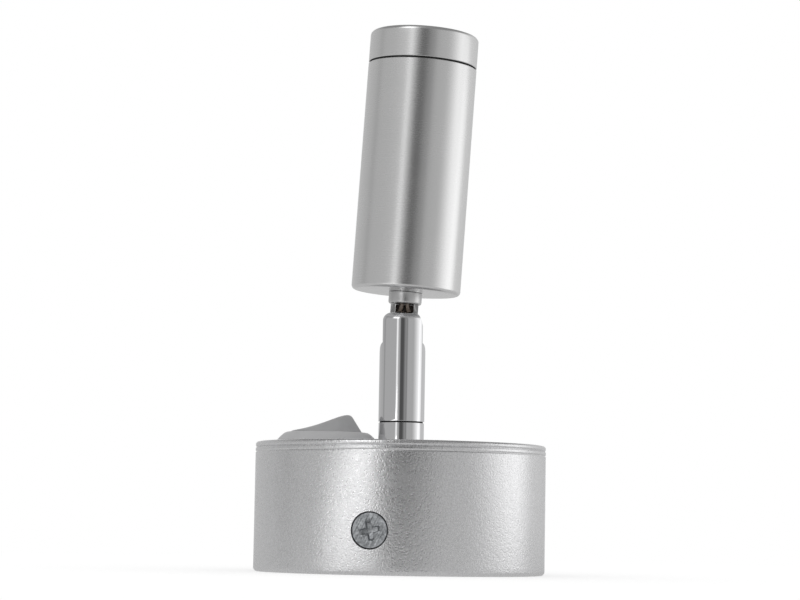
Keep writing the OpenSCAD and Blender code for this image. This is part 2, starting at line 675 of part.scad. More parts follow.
module front_bezel() color([0.8, 0.8, 0.81]) in_head() difference() {
    rotate_extrude() polygon(concat(
        [[0, bezel_z - sleeve_l], [sleeve_r, bezel_z - sleeve_l], [sleeve_r, bezel_z],
            [head_r - 0.1, bezel_z], [head_r, bezel_z + 0.1]],
        arc_points(head_r - bezel_edge_r, head_top - bezel_edge_r, bezel_edge_r, 0, 90, 6),
        [[0, head_top]]));
    translate([0, 0, bezel_z - sleeve_l - over])
        cylinder(r = bezel_bore_r, h = head_top - lip_t - bezel_z + sleeve_l + over);
    translate([0, 0, head_top - lip_t - over]) cylinder(r = lip_r, h = lip_t + 2 * over);
}

module front_glass() color([0.85, 0.9, 0.92, 0.4]) in_head() translate([0, 0, glass_z])
    cylinder(r = bezel_bore_r - 0.15, h = glass_t);

module lens() color([0.9, 0.92, 0.95, 0.5]) in_head() difference() {
    rotate_extrude() polygon([[0, board_z + board_t + emitter_t + 0.8],
        [emitter_d / 2 + 1.2, board_z + board_t + emitter_t + 0.2],
        [emitter_d / 2 + 4, board_z + board_t + emitter_t + 3.6],
        [lens_d / 2 - 1.4, lens_z], [lens_d / 2, lens_z], [lens_d / 2, glass_z], [0, glass_z]]);
    translate([0, 0, board_z]) cylinder(d = emitter_d + 0.8, h = board_t + emitter_t + 1.6);
}

module lens_holder() color([0.1, 0.1, 0.1]) in_head() translate([0, 0, board_z + board_t]) {
    difference() {
        cylinder(r = lens_d / 2, h = holder_h);
        translate([0, 0, holder_t])
            cylinder(r1 = emitter_d / 2 + 4.4, r2 = lens_d / 2 - holder_t, h = holder_h - holder_t + eps);
        translate([0, 0, -over]) cylinder(r = emitter_d / 2 + 4.4, h = 3);
        for (side = [-1, 1]) translate([side * board_screw_x, 0, -over]) cylinder(r = 2.2, h = 2.6 + over);
        translate([0, lead_hole_y, -over]) cylinder(r = 2.6, h = 2 + over);
    }
}

module heat_sink() color([0.75, 0.75, 0.76]) in_head() translate([0, 0, sink_z]) difference() {
    cylinder(r = head_bore_r - 0.1, h = sink_l);
    translate([0, lead_hole_y, -over]) cylinder(r = lead_hole_r, h = sink_l + 2 * over);
    for (side = [-1, 1]) translate([side * board_screw_x, 0, sink_l - 6]) cylinder(r = 1.02, h = 7);
    translate([0, 0, -over]) cylinder(r = 5, h = 3 + over);
}

module led_board() color([0.93, 0.93, 0.92]) in_head() translate([0, 0, board_z]) difference() {
    cylinder(r = board_r, h = board_t);
    translate([0, lead_hole_y, -over]) cylinder(r = lead_hole_r, h = board_t + 2 * over);
    for (side = [-1, 1]) translate([side * board_screw_x, 0, -over])
        cylinder(r = 1.2, h = board_t + 2 * over);
}

module led_emitter() color([0.95, 0.85, 0.4]) in_head() translate([0, 0, board_z + board_t]) {
    translate([-emitter_d / 2 + 0.4, -emitter_d / 2 + 0.4, 0]) cube([emitter_d - 0.8, emitter_d - 0.8, 0.6]);
    translate([0, 0, 0.6]) intersection() {
        cylinder(r = emitter_d, h = emitter_d);
        translate([0, 0, -0.6]) sphere(r = emitter_d / 2 - 0.6);
    }
}

module board_screws() color([0.62, 0.63, 0.65]) in_head() for (side = [-1, 1])
    translate([side * board_screw_x, 0, board_z + board_t]) difference() {
        union() {
            cylinder(r = 1.8, h = 1.2);
            translate([0, 0, -board_t - 4]) cylinder(r = 1, h = board_t + 4 + eps);
        }
        translate([0, 0, 1.2]) mirror([0, 0, 1]) cross_recess(2, 0.6);
    }

live_route = [[block_x - block_l / 2 + 1.4, -pole_pitch / 2, pole_z], [2, -7, 6], [-6, -10, 4.6],
    [-16, -8, 4], [switch_x - 1.2, -3, 4.6], [switch_x - 1.2, -0.9, 6], [switch_x - 1.2, -0.9, 8.5]];
switched_route = [[switch_x + blade_gap + 1.2, 0.9, 8], [switch_x + blade_gap + 1.2, 2.5, 6],
    [-7, 9, 5], [1, 12, 7], [4, 11, 13], [5.5, 8.5, case_z + 2.1], [case_x + 2.5, 7.8, case_z + 2.1]];
neutral_route = [[block_x - block_l / 2 + 1.4, pole_pitch / 2, pole_z], [4.4, 5.6, 7], [5, 7.4, 11],
    [6, 6.4, case_z + 2], [case_x + 2.5, 5.9, case_z + 2.1]];

module lead_live() color([0.45, 0.25, 0.15]) lead(smooth_path(live_route, 3), supply_lead_d);
module lead_switched() color([0.1, 0.1, 0.1]) lead(smooth_path(switched_route, 3), supply_lead_d);
module lead_neutral() color([0.2, 0.35, 0.7]) lead(smooth_path(neutral_route, 3), supply_lead_d);

lamp_dx = lamp_lead_d / 2 + 0.1;
module lamp_leads_base() for (side = [-1, 1]) color(side > 0 ? [0.7, 0.1, 0.1] : [0.1, 0.1, 0.1])
    lead(smooth_path([[case_x + 2, side * 1.2, driver_board_z + driver_board_t + 0.9],
        [case_x - 1.2, side * 1.2, driver_board_z + driver_board_t + 0.9],
        [6.6, side, nipple_bottom - 2.4], [2, side * 0.8, nipple_bottom - 3],
        [0, side * lamp_dx, nipple_bottom - 1.5],
        [0, side * lamp_dx, nipple_bottom + 3], [0, side * lamp_dx, nipple_top]], 3), lamp_lead_d);

module lamp_leads_stem() in_barrel() for (side = [-1, 1])
    color(side > 0 ? [0.7, 0.1, 0.1] : [0.1, 0.1, 0.1])
        lead([[side * lamp_dx, 0.2, nipple_top + loose], [side * lamp_dx, 0.2, fork_floor_z - 2.4],
            [side * 1, 0.6, fork_floor_z - 0.6], [side * 1.15, 0.75, fork_floor_z - 0.1]], lamp_lead_d);

module lamp_leads_head() in_head() for (side = [-1, 1])
    color(side > 0 ? [0.7, 0.1, 0.1] : [0.1, 0.1, 0.1])
        lead(smooth_path([[side * 1.7, lead_swing_y - 0.1, -2.1], [side * lead_swing_x, lead_swing_y, 0],
            [side * lead_swing_x, lead_swing_y, 1.4], [side * 1.5, 0.9, neck_window_z - 0.2],
            [side * lamp_dx, 0.1, 5.2], [side * lamp_dx, 0, head_rise],
            [side * lamp_dx, 0, head_rise + stud_l + 1], [side * lamp_dx, lead_hole_y, sink_z - 1],
            [side * lamp_dx, lead_hole_y, sink_z + 6], [side * lamp_dx, lead_hole_y, board_z],
            [side * lamp_dx, lead_hole_y, board_z + board_t + 0.3],
            [side * lamp_dx, lead_hole_y - 1, board_z + board_t + lamp_lead_d / 2 + 0.3]], 2), lamp_lead_d);

base_cover();
mounting_plate();
side_screws();
terminal_block();
terminal_inserts();
terminal_screws();
stem_nipple();
nipple_washer();
nipple_nut();
swivel_washer();
swivel_nut();
driver_case();
driver_board();
driver_components();
driver_pad();
switch_housing();
switch_terminals();
lead_live();
lead_switched();
lead_neutral();
lamp_leads_base();
switch_rocker();
rocker_plunger();
plunger_spring();
contact_lever();
stem_barrel();
tilt_pin();
friction_washers();
lamp_leads_stem();
knuckle_tongue();
tongue_washer();
tongue_nut();
head_tube();
seam_ring();
front_bezel();
front_glass();
lens();
lens_holder();
heat_sink();
led_board();
led_emitter();
board_screws();
lamp_leads_head();
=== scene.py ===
import json
import math

import bmesh
import bpy
import numpy as np
from mathutils import Matrix, Vector


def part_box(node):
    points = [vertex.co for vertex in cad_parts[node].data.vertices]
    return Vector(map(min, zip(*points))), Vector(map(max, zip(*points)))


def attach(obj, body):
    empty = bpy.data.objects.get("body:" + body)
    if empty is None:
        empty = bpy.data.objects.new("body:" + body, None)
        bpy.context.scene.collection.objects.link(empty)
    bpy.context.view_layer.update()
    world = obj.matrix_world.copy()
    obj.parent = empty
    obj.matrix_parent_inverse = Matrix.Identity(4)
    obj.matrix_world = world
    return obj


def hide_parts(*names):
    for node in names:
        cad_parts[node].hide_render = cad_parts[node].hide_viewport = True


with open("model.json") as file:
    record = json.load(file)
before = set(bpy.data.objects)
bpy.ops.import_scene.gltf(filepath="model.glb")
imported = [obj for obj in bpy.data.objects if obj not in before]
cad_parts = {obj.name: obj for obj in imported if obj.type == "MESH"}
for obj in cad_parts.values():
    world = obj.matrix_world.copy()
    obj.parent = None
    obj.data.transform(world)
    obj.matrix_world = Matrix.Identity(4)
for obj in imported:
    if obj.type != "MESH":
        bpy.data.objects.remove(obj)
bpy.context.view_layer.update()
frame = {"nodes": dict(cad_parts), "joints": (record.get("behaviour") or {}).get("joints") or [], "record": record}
mm = 0.001

# Where the stem turns, the head leans and the rocker tips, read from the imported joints
joints = {joint["name"]: joint for joint in frame["joints"]}
tiltAxis = Vector(joints["head_tilt"]["axis"]).normalized()
tiltCentre = Vector(joints["head_tilt"]["pos_m"])
swivelTurn = math.atan2(-tiltAxis.x, tiltAxis.y)
headLean = math.radians(3.3)  # to the right of upright, as in the photo
rockerLean = math.radians(-16.5)  # half the rocker's travel, with the side towards the stem up
barrelPlace = Matrix.Rotation(swivelTurn, 4, "Z")
headPlace = Matrix.Translation(tiltCentre) @ barrelPlace @ Matrix.Rotation(headLean, 4, "Y")
rockerPlace = (Matrix.Translation(Vector(joints["rocker_press"]["pos_m"]))
               @ Matrix.Rotation(rockerLean, 4, "Y"))
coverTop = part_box("base_cover")[1].z / mm
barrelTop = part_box("stem_barrel")[1].z / mm
tiltHeight = tiltCentre.z / mm
switchAcross = joints["rocker_press"]["pos_m"][0] / mm


def arc(across, up, radius, start, end, steps):
    # points on a circle about (across, up), from one angle to the other, in degrees
    angle = np.radians(np.linspace(start, end, steps + 1))
    return np.stack([across + radius * np.cos(angle), up + radius * np.sin(angle)], 1)


def line(a, b, steps):
    # evenly spaced points from a to b, without b
    return np.linspace(a, b, steps, endpoint=False)


def outline(*stretches):
    # stretches of points joined, without points that repeat the one before
    points = np.concatenate([np.atleast_2d(np.asarray(s, float)) for s in stretches])
    step = np.linalg.norm(np.diff(points, axis=0), axis=1)
    return points[np.concatenate([[True], step > 1e-6])]


def addPiece(name, points, faces, place=Matrix.Identity(4)):
    mesh = bpy.data.meshes.new(name)
    mesh.from_pydata((np.asarray(points, float) * mm).tolist(), [], faces)
    mesh.transform(place)
    piece = bpy.data.objects.new(name, mesh)
    bpy.context.scene.collection.objects.link(piece)
    return piece


def quads(rows, columns, wrapRows=False):
    # faces of a grid whose columns close into a ring, as rows of four indices
    r = np.arange(rows if wrapRows else rows - 1)[:, None]
    c = np.arange(columns)[None, :]
    n, d = (r + 1) % rows, (c + 1) % columns
    return np.stack([r * columns + c, r * columns + d, n * columns + d, n * columns + c], -1).reshape(-1, 4)


def tidyMesh(piece, merge=1e-7):
    # merges the points that meet at the poles and turns every face outwards
    work = bmesh.new()
    work.from_mesh(piece.data)
    bmesh.ops.remove_doubles(work, verts=work.verts, dist=merge)
    bmesh.ops.dissolve_degenerate(work, edges=work.edges, dist=merge)
    bmesh.ops.recalc_face_normals(work, faces=work.faces)
    work.to_mesh(piece.data)
    work.free()
    return piece


def lathe(name, profile, segments=192, place=Matrix.Identity(4), closed=False):
    # a profile (radius, height) carried round Z: x = r cos t, y = r sin t; a closed profile makes a ring
    profile = np.asarray(profile, float)
    t = np.linspace(0, 2 * np.pi, segments, endpoint=False)
    radius = np.repeat(profile[:, :1], segments, 1)
    grid = np.stack([radius * np.cos(t), radius * np.sin(t), np.repeat(profile[:, 1:2], segments, 1)], -1)
    faces = quads(len(profile), segments, closed)
    return tidyMesh(addPiece(name, grid.reshape(-1, 3), faces.tolist(), place))


def prism(name, section, low, high, place=Matrix.Identity(4)):
    # a section (x, z) carried straight along Y, with flat ends
    section = np.asarray(section, float)
    count = len(section)
    points = [np.stack([section[:, 0], np.full(count, y), section[:, 1]], 1) for y in (low, high)]
    sides = quads(2, count).tolist()
    ends = [list(range(count)), list(range(2 * count - 1, count - 1, -1))]
    return tidyMesh(addPiece(name, np.concatenate(points), sides + ends, place))


def block(name, low, high, place=Matrix.Identity(4)):
    # a straight box between two corners
    x0, y0, z0 = low
    x1, y1, z1 = high
    return prism(name, [(x0, z0), (x1, z0), (x1, z1), (x0, z1)], y0, y1, place)


def tube(name, path, radius, sides, place):
    # a circle carried along a path; each ring's side vector is the last one made square to the new heading
    path = np.asarray(path, float)
    heading = np.gradient(path, axis=0)
    heading /= np.linalg.norm(heading, axis=1)[:, None]
    side = np.array([0.0, 1.0, 0.0]) if abs(heading[0, 1]) < 0.9 else np.array([1.0, 0.0, 0.0])
    sidesAlong = []
    for way in heading:
        side = side - way * (side @ way)
        side /= np.linalg.norm(side)
        sidesAlong.append(side)
    across = np.array(sidesAlong)
    up = np.cross(heading, across)
    t = np.linspace(0, 2 * np.pi, sides, endpoint=False)
    ring = across[:, None, :] * np.cos(t)[None, :, None] + up[:, None, :] * np.sin(t)[None, :, None]
    grid = path[:, None, :] + ring * radius
    points = np.concatenate([grid.reshape(-1, 3), path[:1], path[-1:]])
    faces = quads(len(path), sides).tolist()
    last = len(path) * sides
    for k in range(sides):
        j = (k + 1) % sides
        faces.append([last, j, k])
        faces.append([last + 1, last - sides + k, last - sides + j])
    return tidyMesh(addPiece(name, points, faces, place))


def smoothPath(legs, steps):
    # between the middles of the legs the path is a quadratic curve pulled towards the corner
    legs = np.asarray(legs, float)
    middles = (legs[1:] + legs[:-1]) / 2
    t = np.linspace(0, 1, steps, endpoint=False)[:, None]
    curves = [a * (1 - t) ** 2 + corner * 2 * t * (1 - t) + b * t ** 2
              for a, corner, b in zip(middles[:-1], legs[1:-1], middles[1:])]
    return np.concatenate([legs[:1], *curves, middles[-1:], legs[-1:]])


def bake(piece):
    # the piece's modifiers become its mesh
    graph = bpy.context.evaluated_depsgraph_get()
    graph.update()
    mesh = bpy.data.meshes.new_from_object(piece.evaluated_get(graph))
    piece.modifiers.clear()
    piece.data = mesh
    return piece


def carve(piece, operation, *tools):
    # exact boolean with each tool in turn; the tools are used up
    for tool in tools:
        step = piece.modifiers.new("carve", "BOOLEAN")
        step.operation = operation
        step.solver = "EXACT"
        step.object = tool
    bake(piece)
    for tool in tools:
        bpy.data.objects.remove(tool)
    return tidyMesh(piece)


def soften(piece, width, steps=2, angle=35):
    # rounds every edge that turns more than the angle
    step = piece.modifiers.new("soften", "BEVEL")
    step.width = width * mm
    step.segments = steps
    step.limit_method = "ANGLE"
    step.angle_limit = math.radians(angle)
    return bake(piece)


def finishPiece(piece, finish, body, nodes, sharp=25):
    # smooth shading with sharp edges past the angle, a material, the body it rides on, and the CAD nodes that the
    # piece stands for hidden
    piece.data.polygons.foreach_set("use_smooth", np.ones(len(piece.data.polygons), bool))
    piece.data.set_sharp_from_angle(angle=math.radians(sharp))
    piece.data.materials.clear()
    piece.data.materials.append(finish)
    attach(piece, body)
    if nodes:
        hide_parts(*nodes)
    return piece


class Value:
    # a socket that can be added, multiplied and compared, each time through a Math node
    def __init__(self, finish, socket):
        self.finish = finish
        self.socket = socket

    def maths(self, operation, *others):
        return self.finish.node("Math", dict(operation=operation), self, *others)

    def __add__(self, other):
        return self.maths("ADD", other)

    def __sub__(self, other):
        return self.maths("SUBTRACT", other)

    def __mul__(self, other):
        return self.maths("MULTIPLY", other)

    def __truediv__(self, other):
        return self.maths("DIVIDE", other)

    def __rsub__(self, other):
        return self.finish.node("Math", dict(operation="SUBTRACT"), other, self)

    __radd__ = __add__
    __rmul__ = __mul__

    def __abs__(self):
        return self.maths("ABSOLUTE")

    def clipped(self):
        return self.finish.node("Clamp", {}, self, 0.0, 1.0)


class Finish:
    # a node tree with one method for all its nodes
    def __init__(self, name, world=False):
        holder = bpy.data.worlds.new(name) if world else bpy.data.materials.new(name)
        holder.use_nodes = True
        self.holder = holder
        self.tree = holder.node_tree
        self.tree.nodes.clear()

    def node(self, kind, settings=None, *values, out=0, **named):
        # settings go on the node first, then values or links on its sockets, by place or by name
        made = self.tree.nodes.new("ShaderNode" + kind)
        for key, value in (settings or {}).items():
            setattr(made, key, value)
        for key, value in list(enumerate(values)) + list(named.items()):
            socket = made.inputs[key if isinstance(key, int) else key.replace("_", " ")]
            if isinstance(value, Value):
                self.tree.links.new(value.socket, socket)
            elif value is not None:
                socket.default_value = value
        return Value(self, made.outputs[out]) if len(made.outputs) else None

    def place(self, scale=(1, 1, 1), offset=(0, 0, 0), turn=(0, 0, 0)):
        # Object coordinates in millimetres, moved, turned and stretched for one pattern
        coords = self.node("TexCoord", out="Object")
        return self.node("Mapping", None, coords, offset, turn, tuple(1000 * s for s in scale))

    def noise(self, where, size, detail=2.0, rough=0.5):
        # noise whose blobs measure about the given size in millimetres
        return self.node("TexNoise", None, Vector=where, Scale=1 / size, Detail=detail, Roughness=rough)

    def blend(self, factor, a, b):
        # from colour a to colour b as the factor goes from 0 to 1
        return self.node("Mix", dict(data_type="RGBA"), factor, None, None, None, None, None,
                         (*a, 1), (*b, 1), out=2)

    def bump(self, height, depth):
        # height from 0 to 1, depth in millimetres
        return self.node("Bump", None, Strength=1.0, Distance=depth * mm, Height=height)

    def surface(self, colour, **sockets):
        # the finished material; a colour of three numbers gets its alpha here
        base = colour if isinstance(colour, Value) else (*colour, 1)
        self.node("OutputMaterial", None, self.node("BsdfPrincipled", None, Base_Color=base, **sockets))
        return self.holder


print("helpers ready")


def grainedAluminium(name, look):
    # blasted and anodised: a fine dense grain that sparkles, over a slow cloudiness
    f = Finish(name)
    fine = f.noise(f.place(), look["grain"], 0.0)
    coarse = f.noise(f.place(offset=(3, 1, 7)), look["grain"] * 2.6, 1.0)
    cloud = f.noise(f.place(offset=(11, 5, 2)), look["cloud"], 2.0)
    tone = (fine - 0.5) * look["speckle"] + (cloud - 0.5) * look["drift"] + look["level"]
    colour = f.node("CombineColor", None, tone, tone * look["green"], tone * look["blue"])
    rough = (cloud - 0.5) * 0.05 + (coarse - 0.5) * 0.08 + look["rough"]
    bump = f.bump(fine * 0.6 + coarse * 0.4, look["depth"])
    return f.surface(colour, Metallic=1.0, Roughness=rough, Normal=bump)


def turnedAluminium(name, look, axis):
    # satin turned: rings of fine tool marks about the piece's axis, hardly varying round it
    f = Finish(name)
    back = axis.inverted()
    coords = f.place(offset=tuple(Vector(back.translation) * 1000), turn=tuple(back.to_euler()))
    rings = f.node("CombineXYZ", None, 0.0, 0.0, f.node("SeparateXYZ", None, coords, out="Z"))
    fine = f.noise(rings, look["mark"], 3.0, 0.7)
    wide = f.noise(rings, look["mark"] * 7, 2.0)
    smear = f.noise(f.place(), look["smear"], 2.0)
    tone = (fine - 0.5) * look["speckle"] + (smear - 0.5) * look["drift"] + look["level"]
    colour = f.node("CombineColor", None, tone, tone * look["green"], tone * look["blue"])
    rough = (fine - 0.5) * 0.05 + (smear - 0.5) * 0.04 + look["rough"]
    bump = f.bump(fine * 0.7 + wide * 0.3, look["depth"])
    return f.surface(colour, Metallic=1.0, Roughness=rough, Normal=bump)


def chromePlate(name, look):
    # bright plating with faint polishing haze and a few soft wipes
    f = Finish(name)
    haze = f.noise(f.place(), 1.6, 3.0)
    wipe = f.noise(f.place(scale=(1, 1, 0.25)), 0.5, 2.0)
    rough = (haze - 0.5) * 0.03 + look["rough"]
    bump = f.bump(wipe, look["depth"])
    return f.surface(look["colour"], Metallic=1.0, Roughness=rough, Normal=bump)


def mouldedPlastic(name, look):
    # moulded texture: small pebbled grain, with the tone drifting slightly
    f = Finish(name)
    pebble = f.noise(f.place(), look["grain"], 3.0, 0.6)
    drift = f.noise(f.place(offset=(2, 9, 4)), look["grain"] * 14, 2.0)
    dark = tuple(c * (1 - look["drift"]) for c in look["colour"])
    light = tuple(min(1.0, c * (1 + look["drift"])) for c in look["colour"])
    colour = f.blend((drift * 0.7 + pebble * 0.3 - 0.2) * 1.6, dark, light)
    rough = (pebble - 0.5) * 0.12 + look["rough"]
    return f.surface(colour, Roughness=rough, Normal=f.bump(pebble, look["depth"]),
                     Specular_IOR_Level=look.get("shine", 0.5))


def blotchyZinc(name, look):
    # zinc plating: grey patches a fraction of a millimetre wide, some rubbed brighter
    f = Finish(name)
    patch = f.noise(f.place(), look["patch"], 4.0, 0.65)
    fine = f.noise(f.place(offset=(5, 5, 5)), look["patch"] * 0.3, 2.0)
    mask = ((patch - 0.5) * 2.4 + 0.5).clipped()
    colour = f.blend(mask, look["dark"], look["light"])
    rough = (1 - mask) * 0.18 + (fine - 0.5) * 0.1 + look["rough"]
    return f.surface(colour, Metallic=1.0, Roughness=rough,
                     Normal=f.bump(patch * 0.5 + fine * 0.5, look["depth"]))


def clearGlass(name, look):
    # clear moulded or polished body with a trace of unevenness
    f = Finish(name)
    wave = f.noise(f.place(), 3.0, 2.0)
    rough = (wave - 0.5) * 0.02 + look["rough"]
    return f.surface(look["colour"], Roughness=rough, Transmission_Weight=1.0, IOR=look["bend"],
                     Normal=f.bump(wave, 0.004))


finishes = {
    "base_aluminium": grainedAluminium("baseAluminium", dict(
        level=0.86, green=1.0, blue=1.01, grain=0.3, cloud=9.0, speckle=0.3, drift=0.04, rough=0.28, depth=0.065)),
    "head_aluminium": turnedAluminium("headAluminium", dict(
        level=0.86, green=1.0, blue=1.0, mark=0.11, smear=6.0, speckle=0.08, drift=0.03, rough=0.27, depth=0.003),
        headPlace),
    "plated_metal": chromePlate("brightChrome", dict(colour=(0.8, 0.8, 0.81), rough=0.05, depth=0.0008)),
    "screw_zinc": blotchyZinc("blotchyZinc", dict(
        dark=(0.2, 0.21, 0.22), light=(0.62, 0.64, 0.66), patch=0.6, rough=0.3, depth=0.02)),
    "plate_steel": blotchyZinc("zincSheet", dict(
        dark=(0.4, 0.41, 0.42), light=(0.62, 0.63, 0.65), patch=2.4, rough=0.34, depth=0.006)),
    "nut_brass": blotchyZinc("turnedBrass", dict(
        dark=(0.55, 0.42, 0.2), light=(0.78, 0.64, 0.34), patch=1.2, rough=0.25, depth=0.004)),
    "contact_brass": blotchyZinc("contactBrass", dict(
        dark=(0.62, 0.47, 0.22), light=(0.84, 0.68, 0.38), patch=0.9, rough=0.22, depth=0.003)),
    "spring_steel": blotchyZinc("drawnWire", dict(
        dark=(0.36, 0.36, 0.37), light=(0.58, 0.58, 0.6), patch=0.3, rough=0.28, depth=0.002)),
    "heat_sink_metal": blotchyZinc("turnedSink", dict(
        dark=(0.55, 0.55, 0.56), light=(0.74, 0.74, 0.75), patch=1.5, rough=0.36, depth=0.004)),
    "flange_plastic": mouldedPlastic("flangePlastic", dict(
        colour=(0.41, 0.41, 0.415), grain=0.22, drift=0.06, rough=0.42, depth=0.006)),
    "rocker_plastic": mouldedPlastic("rockerPlastic", dict(
        colour=(0.35, 0.35, 0.355), grain=0.18, drift=0.08, rough=0.48, depth=0.008)),
    "block_plastic": mouldedPlastic("blockPlastic", dict(
        colour=(0.8, 0.79, 0.74), grain=0.4, drift=0.05, rough=0.5, depth=0.006)),
    "case_plastic": mouldedPlastic("blackPlastic", dict(
        colour=(0.03, 0.03, 0.032), grain=0.3, drift=0.12, rough=0.5, depth=0.008)),
    "nylon": mouldedPlastic("nylon", dict(
        colour=(0.82, 0.82, 0.79), grain=0.5, drift=0.04, rough=0.38, depth=0.003)),
    "ring_rubber": mouldedPlastic("blackRubber", dict(
        colour=(0.012, 0.012, 0.012), grain=0.2, drift=0.2, rough=0.7, depth=0.006, shine=0.25)),
    "pad_foam": mouldedPlastic("padFoam", dict(
        colour=(0.86, 0.86, 0.84), grain=0.35, drift=0.08, rough=0.9, depth=0.05)),
    "board_green": mouldedPlastic("greenBoard", dict(
        colour=(0.02, 0.13, 0.06), grain=0.8, drift=0.18, rough=0.3, depth=0.006)),
    "component_body": mouldedPlastic("components", dict(
        colour=(0.6, 0.42, 0.08), grain=0.6, drift=0.15, rough=0.35, depth=0.004)),
    "board_white": mouldedPlastic("whiteBoard", dict(
        colour=(0.84, 0.84, 0.82), grain=0.6, drift=0.04, rough=0.4, depth=0.003)),
    "emitter": mouldedPlastic("emitterGel", dict(
        colour=(0.85, 0.62, 0.12), grain=0.12, drift=0.12, rough=0.3, depth=0.006)),
    "lead_brown": mouldedPlastic("brownSheath", dict(
        colour=(0.12, 0.05, 0.025), grain=0.3, drift=0.12, rough=0.45, depth=0.006)),
    "lead_black": mouldedPlastic("blackSheath", dict(
        colour=(0.015, 0.015, 0.015), grain=0.3, drift=0.2, rough=0.45, depth=0.006)),
    "lead_blue": mouldedPlastic("blueSheath", dict(
        colour=(0.03, 0.08, 0.28), grain=0.3, drift=0.12, rough=0.45, depth=0.006)),
    # The leads' sheath is a lighter brown than their own dark brown: painted sheen standing in for their glints
    "lamp_lead": mouldedPlastic("lampLeadSheathPaintedSheen", dict(
        colour=(0.30, 0.235, 0.19), grain=0.2, drift=0.3, rough=0.13, depth=0.002, shine=0.9)),
    "front_glass": clearGlass("frontGlass", dict(colour=(0.96, 0.98, 0.98), rough=0.03, bend=1.5)),
    "lens_acrylic": clearGlass("lensAcrylic", dict(colour=(0.97, 0.98, 0.99), rough=0.06, bend=1.49)),
}
# Two finishes for single pieces: the painted shade of the dark block behind the leads, and the knuckle's satin
# plating
paintedWindowShade = mouldedPlastic("paintedWindowShade", dict(
    colour=(0.05, 0.032, 0.024), grain=0.2, drift=0.3, rough=0.35, depth=0.004))
satinPlate = chromePlate("satinPlate", dict(colour=(0.72, 0.72, 0.72), rough=0.32, depth=0.004))

# Every solid starts with its slot's finish; the pieces made below take the place of those that show
slotOf = {part["node"]: part["material_slot"] for part in frame["record"]["subparts"]}
for name, node in frame["nodes"].items():
    node.data.materials.clear()
    node.data.materials.append(finishes[slotOf[name]])
print("finishes ready:", len(finishes))


cover = dict(radius=33.0, wall=2.8, topThickness=2.5, bead=0.7, footRound=0.9, grooveDrop=2.25, grooveWidth=0.26,
             grooveDepth=0.16, screwHeight=9.6, screwSink=0.35, mouth=8.2, throat=4.5, screwHole=6.0,
             switchHole=20.2, nippleHole=8.2)


def coverProfile(c, top):
    # up the outside from the foot, round the top edge, in to the middle hole and down the inside
    groove = top - c["grooveDrop"]
    outer = c["radius"]
    inner = outer - c["wall"]
    ceiling = top - c["topThickness"]
    edge = outer - c["bead"]
    hole = c["nippleHole"] / 2
    bead = arc(edge, top - c["bead"], c["bead"], -48, 90, 22)
    under = bead[0]
    return outline(
        [(inner, 0.0)], line((inner + 0.1, 0.0), (outer - c["footRound"], 0.0), 2),
        arc(outer - c["footRound"], c["footRound"], c["footRound"], -90, 0, 10),
        line((outer, c["footRound"]), (outer, groove - c["grooveWidth"] - 0.1), 24),
        smoothPath([(outer, groove - c["grooveWidth"] - 0.1), (outer, groove - c["grooveWidth"]),
                    (outer - c["grooveDepth"], groove - 0.05), (outer - c["grooveDepth"], groove + 0.05),
                    (outer, groove + c["grooveWidth"]), (outer, groove + c["grooveWidth"] + 0.1)], 4),
        smoothPath([(outer, under[1] - 0.4), (outer, under[1] - 0.22), (under[0] - 0.02, under[1] - 0.02),
                    (under[0], under[1])], 4),
        bead,
        line((edge - 0.5, top), (hole + 0.3, top), 8), [(hole + 0.3, top), (hole, top - 0.3), (hole, ceiling)],
        line((hole + 0.5, ceiling), (inner - 0.5, ceiling), 6), [(inner, ceiling - 0.5)],
        line((inner, ceiling - 1.5), (inner, 0.5), 12))


def sideCutter(c, side):
    # a countersink along Y: a wide mouth outside, a cone, then the screw's hole
    depth = (c["mouth"] - c["throat"]) / 2
    profile = [(0, 3.0), (c["mouth"] / 2, 3.0), (c["mouth"] / 2, -screw["headThickness"]),
               (c["throat"] / 2, -screw["headThickness"] - depth), (c["throat"] / 2, -c["screwHole"]),
               (0, -c["screwHole"])]
    face = c["radius"] - c["screwSink"]
    place = (Matrix.Translation((0, side * face * mm, c["screwHeight"] * mm))
             @ Matrix.Rotation(math.radians(-90 * side), 4, "X"))
    return lathe("sideCutter", profile, 96, place)


def makeCover(c):
    shell = lathe("coverShell", coverProfile(c, coverTop), 288, closed=True)
    hole = lathe("switchCutter", [(0, coverTop - 6), (c["switchHole"] / 2, coverTop - 6),
                                  (c["switchHole"] / 2, coverTop + 2), (0, coverTop + 2)], 128,
                 Matrix.Translation((switchAcross * mm, 0, 0)))
    carve(shell, "DIFFERENCE", hole, sideCutter(c, -1), sideCutter(c, 1))
    return finishPiece(shell, finishes["base_aluminium"], "root", ["base_cover"], 18)


screw = dict(head=7.7, headThickness=0.4, edge=0.12, thread=4.0, length=8.0, arm=4.7, armWidth=1.15,
             armFlare=0.12, wallSlope=0.16, pit=1.15, depth=0.95, burr=0.05)


def screwFace(s, x, y):
    # height of the face at (x, y): a cross whose arms' floors rise to their ends, with a cone in the middle
    def slot(along, across):
        reach = np.clip((s["arm"] / 2 - np.abs(along)) / (s["arm"] / 2), 0, 1)
        wall = np.clip((s["armWidth"] / 2 + s["armFlare"] * reach - np.abs(across)) / s["wallSlope"], 0, 1)
        return wall * np.clip(reach * 3.5, 0, 1) * (0.55 + 0.45 * reach)
    turned = math.radians(s["turn"])
    a = x * math.cos(turned) + y * math.sin(turned)
    b = -x * math.sin(turned) + y * math.cos(turned)
    middle = np.clip(1.15 - np.hypot(a, b) / s["pit"], 0, 1)
    cross = np.maximum(np.maximum(slot(a, b), slot(b, a)), middle)
    ripple = s["burr"] * (np.sin(5.1 * a + 1.3) * np.sin(4.3 * b + 0.4) + 0.5 * np.sin(9.7 * a - 7.9 * b))
    return -s["depth"] * cross + ripple * (0.25 + 0.75 * (cross < 0.5)) * np.clip(3.6 - np.hypot(x, y), 0, 1)


